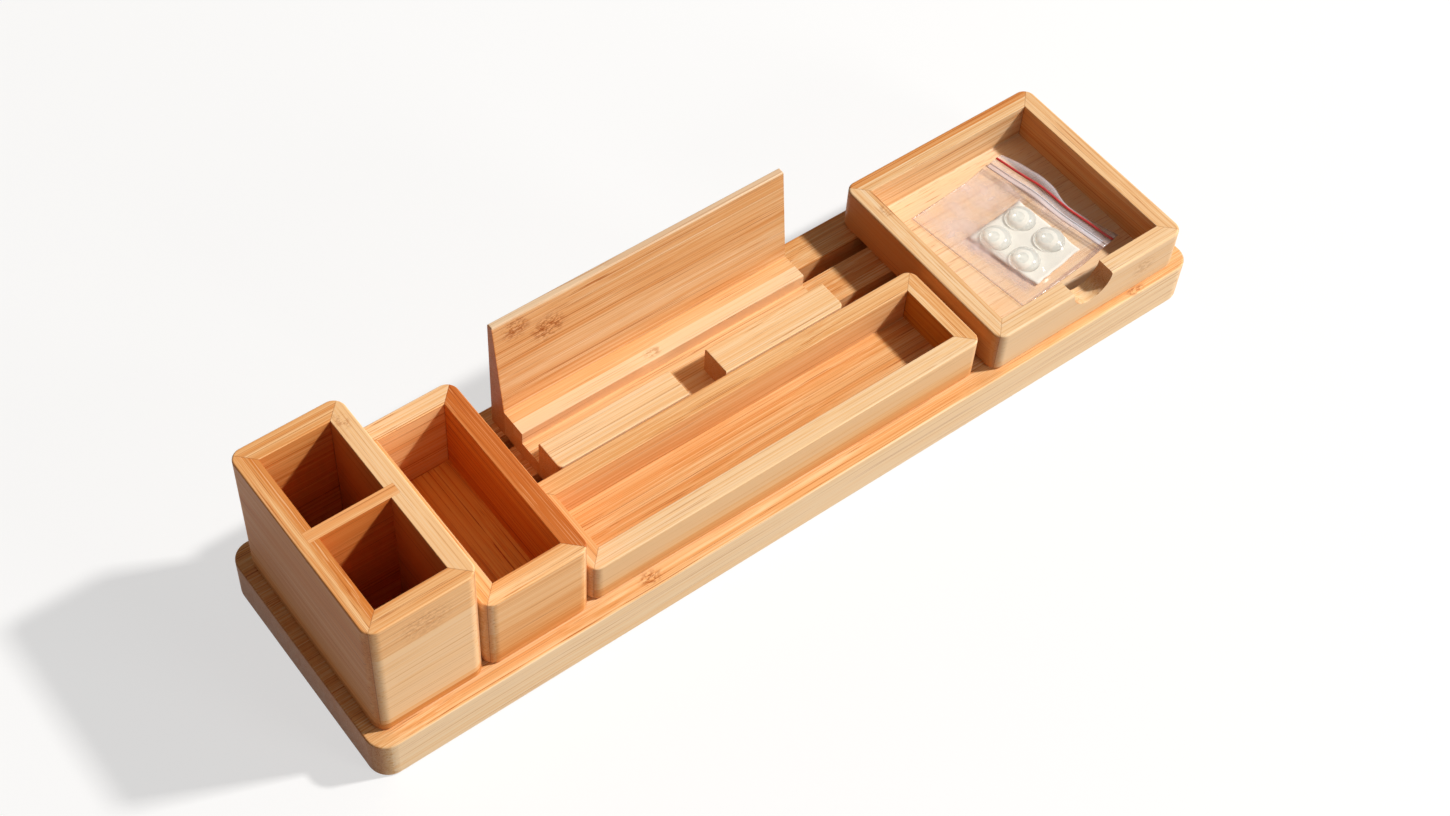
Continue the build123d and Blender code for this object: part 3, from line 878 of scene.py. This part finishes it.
def tube_faces(rings, sides):
    """The faces from ring to ring of so many points each, and one that closes the first ring."""
    faces = []
    for start in range(0, (rings - 1) * sides, sides):
        for k in range(sides):
            a, b = start + k, start + (k + 1) % sides
            faces.append((a, b, b + sides, a + sides))
    faces.append(tuple(reversed(range(sides))))
    return faces


def zip_line(y):
    """Where the zip runs along the bag's width, and how high it stands, in the bag's own frame."""
    x = ZIP_MIDDLE_X + ZIP_SLANT * y + 0.25 * np.sin(y / 6.5)
    z = ZIP_LIFT + 0.55 * np.sin(y / 9.0 + 0.6) + 0.25 * np.sin(y / 3.7)
    return x, z


def contents_height(x, y, card_place, feet):
    """How high the card and the feet stand under the film, above the bag's underside."""
    card_x, card_y, card_top = card_place
    along, across = turned(x - card_x, y - card_y, CARD_TURN - BAG_TURN)
    on_card = (np.abs(along) < CARD_LENGTH / 2) & (np.abs(across) < CARD_WIDTH / 2)
    height = np.where(on_card, card_top + CARD_CLEARANCE, 0.0)
    for foot_x, foot_y in feet:
        reach = np.hypot(x - foot_x, y - foot_y) / (FOOT_RADIUS + FOOT_CLEARANCE)
        rise = np.sqrt(np.clip(1 - reach**2, 0, 1)) ** 0.8
        over_foot = card_top + FOOT_CLEARANCE + FOOT_HEIGHT * rise
        height = np.where(reach < 1, np.maximum(height, over_foot), height)
    return height


def drape(rim, floor):
    """A film pulled down over what lies under it: pinned at its rim and never below the floor."""
    film = np.maximum(rim, floor)
    inner = (slice(1, -1), slice(1, -1))

    def neighbours():
        return (film[:-2, 1:-1] + film[2:, 1:-1] + film[1:-1, :-2] + film[1:-1, 2:]) / 4

    for _ in range(DRAPE_PASSES):
        film[inner] = np.maximum(neighbours() - DRAPE_SAG, floor[inner])
    for _ in range(DRAPE_SMOOTHING):
        film[inner] = neighbours()
    return film


def bag_body(rows, card_place, feet):
    """The two films from the closed end to the zip, as two grids of points."""
    zip_x, zip_z = zip_line(rows)
    along = np.linspace(0, 1, BODY_STEPS + 1)[:, None]
    x = BAG_BACK_X + along * (zip_x - BAG_BACK_X)
    y = rows + MOUTH_DRIFT * along

    # The rim lies on the floor at the back and climbs to the zip at the front
    climb = smooth_step(x, zip_x - ZIP_CLIMB, zip_x)
    rim = RIM_LIFT + climb * (zip_z - RIM_LIFT)
    under_zip = smooth_step(x, zip_x - ZIP_SHOULDER, zip_x) * ZIP_SHARE * zip_z
    floor = np.maximum(contents_height(x, y, card_place, feet), RIM_LIFT + FILM_LIFT + under_zip)
    film = drape(rim, floor)

    # It wrinkles inside its rim, and more where it hangs free
    inside = smooth_step(BAG_WIDTH / 2 - np.abs(rows), 0, RIM_FADE)
    inside = inside * smooth_step(x - BAG_BACK_X, 0, RIM_FADE) * smooth_step(zip_x - x, 0, ZIP_FADE)
    share = WRINKLE_HELD + WRINKLE_FREE * smooth_step(film - floor, 0.0, 1.0)
    film += inside * share * WRINKLE_HEIGHT * np.abs(waves(x, y, *FILM_WRINKLES))
    under = np.minimum(film - FILM_GAP, climb**3 * (zip_z - FILM_GAP))
    for edge in ((0, slice(None)), (slice(None), 0), (slice(None), -1)):
        under[edge] = film[edge] - WELD_THICKNESS
    return np.stack([x, y, film], -1), np.stack([x, y, under], -1)


def bag_flap(rows):
    """The two films of the open flap, from the zip out to the mouth, as two grids of points."""
    zip_x, zip_z = zip_line(rows)
    mouth_x = np.interp(rows, *zip(*MOUTH_OUTLINE))
    kernel = np.ones(MOUTH_SMOOTHING) / MOUTH_SMOOTHING
    mouth_x = np.convolve(np.pad(mouth_x, MOUTH_SMOOTHING // 2, mode="edge"), kernel, mode="valid")
    out = np.linspace(0, 1, FLAP_STEPS + 1)[1:, None]
    x = zip_x + out * (mouth_x - zip_x)
    y = np.broadcast_to(rows + MOUTH_DRIFT, x.shape)
    arch = 1.0 + 0.7 * np.sin(rows / 7.0)
    z = zip_z + arch * np.sin(out * math.pi) * FLAP_ARCH - out**2 * FLAP_DROOP
    return np.stack([x, y, z], -1), np.stack([x, y, z - FILM_GAP * (1 - 0.6 * out)], -1)


def bag_film(card_place, feet):
    """Vertices and faces of the zip bag: two films that meet at the rim, with an open mouth flap."""
    rows = np.linspace(-BAG_WIDTH / 2, BAG_WIDTH / 2, ROW_STEPS + 1)
    body, flap = bag_body(rows, card_place, feet), bag_flap(rows)
    top, low = (np.concatenate(pair) for pair in zip(body, flap))
    return closed_sheet(top, low)


def strip_along(x, y, z, half_width, half_height):
    """A closed rod of oval section along a line of points, with flat ends."""
    turn = -2 * math.pi * np.arange(STRIP_SIDES) / STRIP_SIDES
    wide = x[:, None] + half_width * np.cos(turn)
    high = z[:, None] + half_height * np.sin(turn)
    vertices = np.stack([wide, np.broadcast_to(y[:, None], wide.shape), high], -1).reshape(-1, 3)
    last = len(vertices) - STRIP_SIDES
    end = tuple(range(last, len(vertices)))
    return vertices, [*tube_faces(len(x), STRIP_SIDES), end]


def dome(radius, height):
    """A rubber foot: a low dome with a short upright rim, turned about its axis."""
    rings = [(radius, 0.0), (radius, 0.12 * height), (0.985 * radius, 0.26 * height)]
    for k in range(1, FOOT_STEPS):
        angle = math.radians(FOOT_SHOULDER + (90 - FOOT_SHOULDER) * k / FOOT_STEPS)
        rings.append((radius * math.cos(angle) ** 0.9, height * math.sin(angle) ** 0.85))
    turns = [2 * math.pi * k / FOOT_SIDES for k in range(FOOT_SIDES)]
    vertices = [(r * math.cos(turn), r * math.sin(turn), z) for r, z in rings for turn in turns]
    top = len(vertices)
    vertices.append((0.0, 0.0, height))
    faces = tube_faces(len(rings), FOOT_SIDES)
    last = top - FOOT_SIDES
    for k in range(FOOT_SIDES):
        faces.append((last + k, last + (k + 1) % FOOT_SIDES, top))
    return vertices, faces


def card_sheet(corners, low, high):
    """A hand-cut card between corners: its edges wander and its top buckles a little."""
    left, right, far_right, far_left = (np.array(corner) for corner in corners)
    share = np.linspace(0, 1, CARD_STEPS + 1)
    u, v = np.meshgrid(share, share, indexing="ij")
    across, along = u[..., None], v[..., None]
    near = (1 - across) * (1 - along) * left + across * (1 - along) * right
    flat = near + across * along * far_right + (1 - across) * along * far_left
    x, y = flat[..., 0], flat[..., 1]
    rim = np.minimum(np.minimum(u, 1 - u), np.minimum(v, 1 - v))
    edge = 1 - smooth_step(rim, 0, CARD_RIM_SHARE)
    x, y = (
        x + edge * CARD_WANDER * waves(x, y, *CARD_EDGE_WAVES_X),
        y + edge * CARD_WANDER * waves(x, y, *CARD_EDGE_WAVES_Y),
    )
    top = high - CARD_SINK + CARD_BUCKLE * waves(x, y, *CARD_TOP_WAVES) * edge
    return closed_sheet(np.stack([x, y, top], -1), np.stack([x, y, np.full_like(x, low)], -1))


def make_bag(centre, card_place, feet):
    """The clear zip bag, open at its mouth, with its red line and its ribs."""
    film = film_material("clear_film", haze=0.07, milk=0.38)
    rib_film = film_material("rib_film", haze=0.62, milk=0.34)
    bag = add_piece("zip_bag", *bag_film(card_place, feet), "packet", film)
    place_local(bag, centre, BAG_TURN)
    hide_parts("packet_bag")

    rows = np.linspace(-BAG_WIDTH / 2 + STRIP_INSET, BAG_WIDTH / 2 - STRIP_INSET, RED_STEPS)
    zip_x, zip_z = zip_line(rows)
    across = rows + MOUTH_DRIFT
    red = strip_along(zip_x, across, zip_z + RED_LIFT, RED_HALF_WIDTH, RED_HALF_HEIGHT)
    red_line = add_piece("zip_red_line", *red, "packet", mottled("zip_red", **ZIP_RED))
    place_local(red_line, centre, BAG_TURN)
    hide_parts("packet_zip_strip")
    for name, inset, half_width, half_height in RIBS:
        rib_z = zip_z * (1 - RIB_FALL * inset) + RIB_LIFT
        rib = strip_along(zip_x - inset, across, rib_z, half_width, half_height)
        piece = add_piece(name, *rib, "packet", rib_film)
        place_local(piece, centre, BAG_TURN)


def make_feet(card_low, card_top, feet_nodes):
    """The card and the clear feet that stick on it."""
    sheet = card_sheet(CARD_CORNERS, card_low, card_top)
    card = add_piece("foot_card", *sheet, "packet", mottled("card_paper", **CARD_PAPER))
    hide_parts("packet_card")
    rubber = mottled("clear_rubber", **CLEAR_RUBBER)
    for number, node in enumerate(feet_nodes, start=1):
        foot = add_piece(f"clear_foot_{number}", *dome(FOOT_RADIUS, FOOT_HEIGHT), "packet", rubber)
        x, y, _ = middle(node)
        place_local(foot, (x, y, card_top))
        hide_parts(node)


def make_packet():
    """The zip bag, and inside it the card of four clear feet."""
    bag_x, bag_y, _ = middle("packet_bag")
    bag_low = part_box("packet_bag")[0][2] / MM
    card_low, card_top = (end[2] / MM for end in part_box("packet_card"))
    feet_nodes = [f"packet_foot_{number}" for number in range(1, 5)]

    def in_bag(node):
        """The middle of a node in the bag's own frame."""
        x, y, _ = middle(node)
        return turned(x - bag_x, y - bag_y, BAG_TURN)

    card_place = (*in_bag("packet_card"), card_top - bag_low)
    make_bag((bag_x, bag_y, bag_low), card_place, [in_bag(node) for node in feet_nodes])
    make_feet(card_low, card_top, feet_nodes)


# ---------------------------------------------------------------- making the scene

bpy.context.scene.view_settings.view_transform = "Standard"
make_camera()
make_world()
make_floor()
for name, lamp in LAMPS.items():
    soft_light(name, **lamp)
make_bamboo_group()
dress_boards()
make_packet()
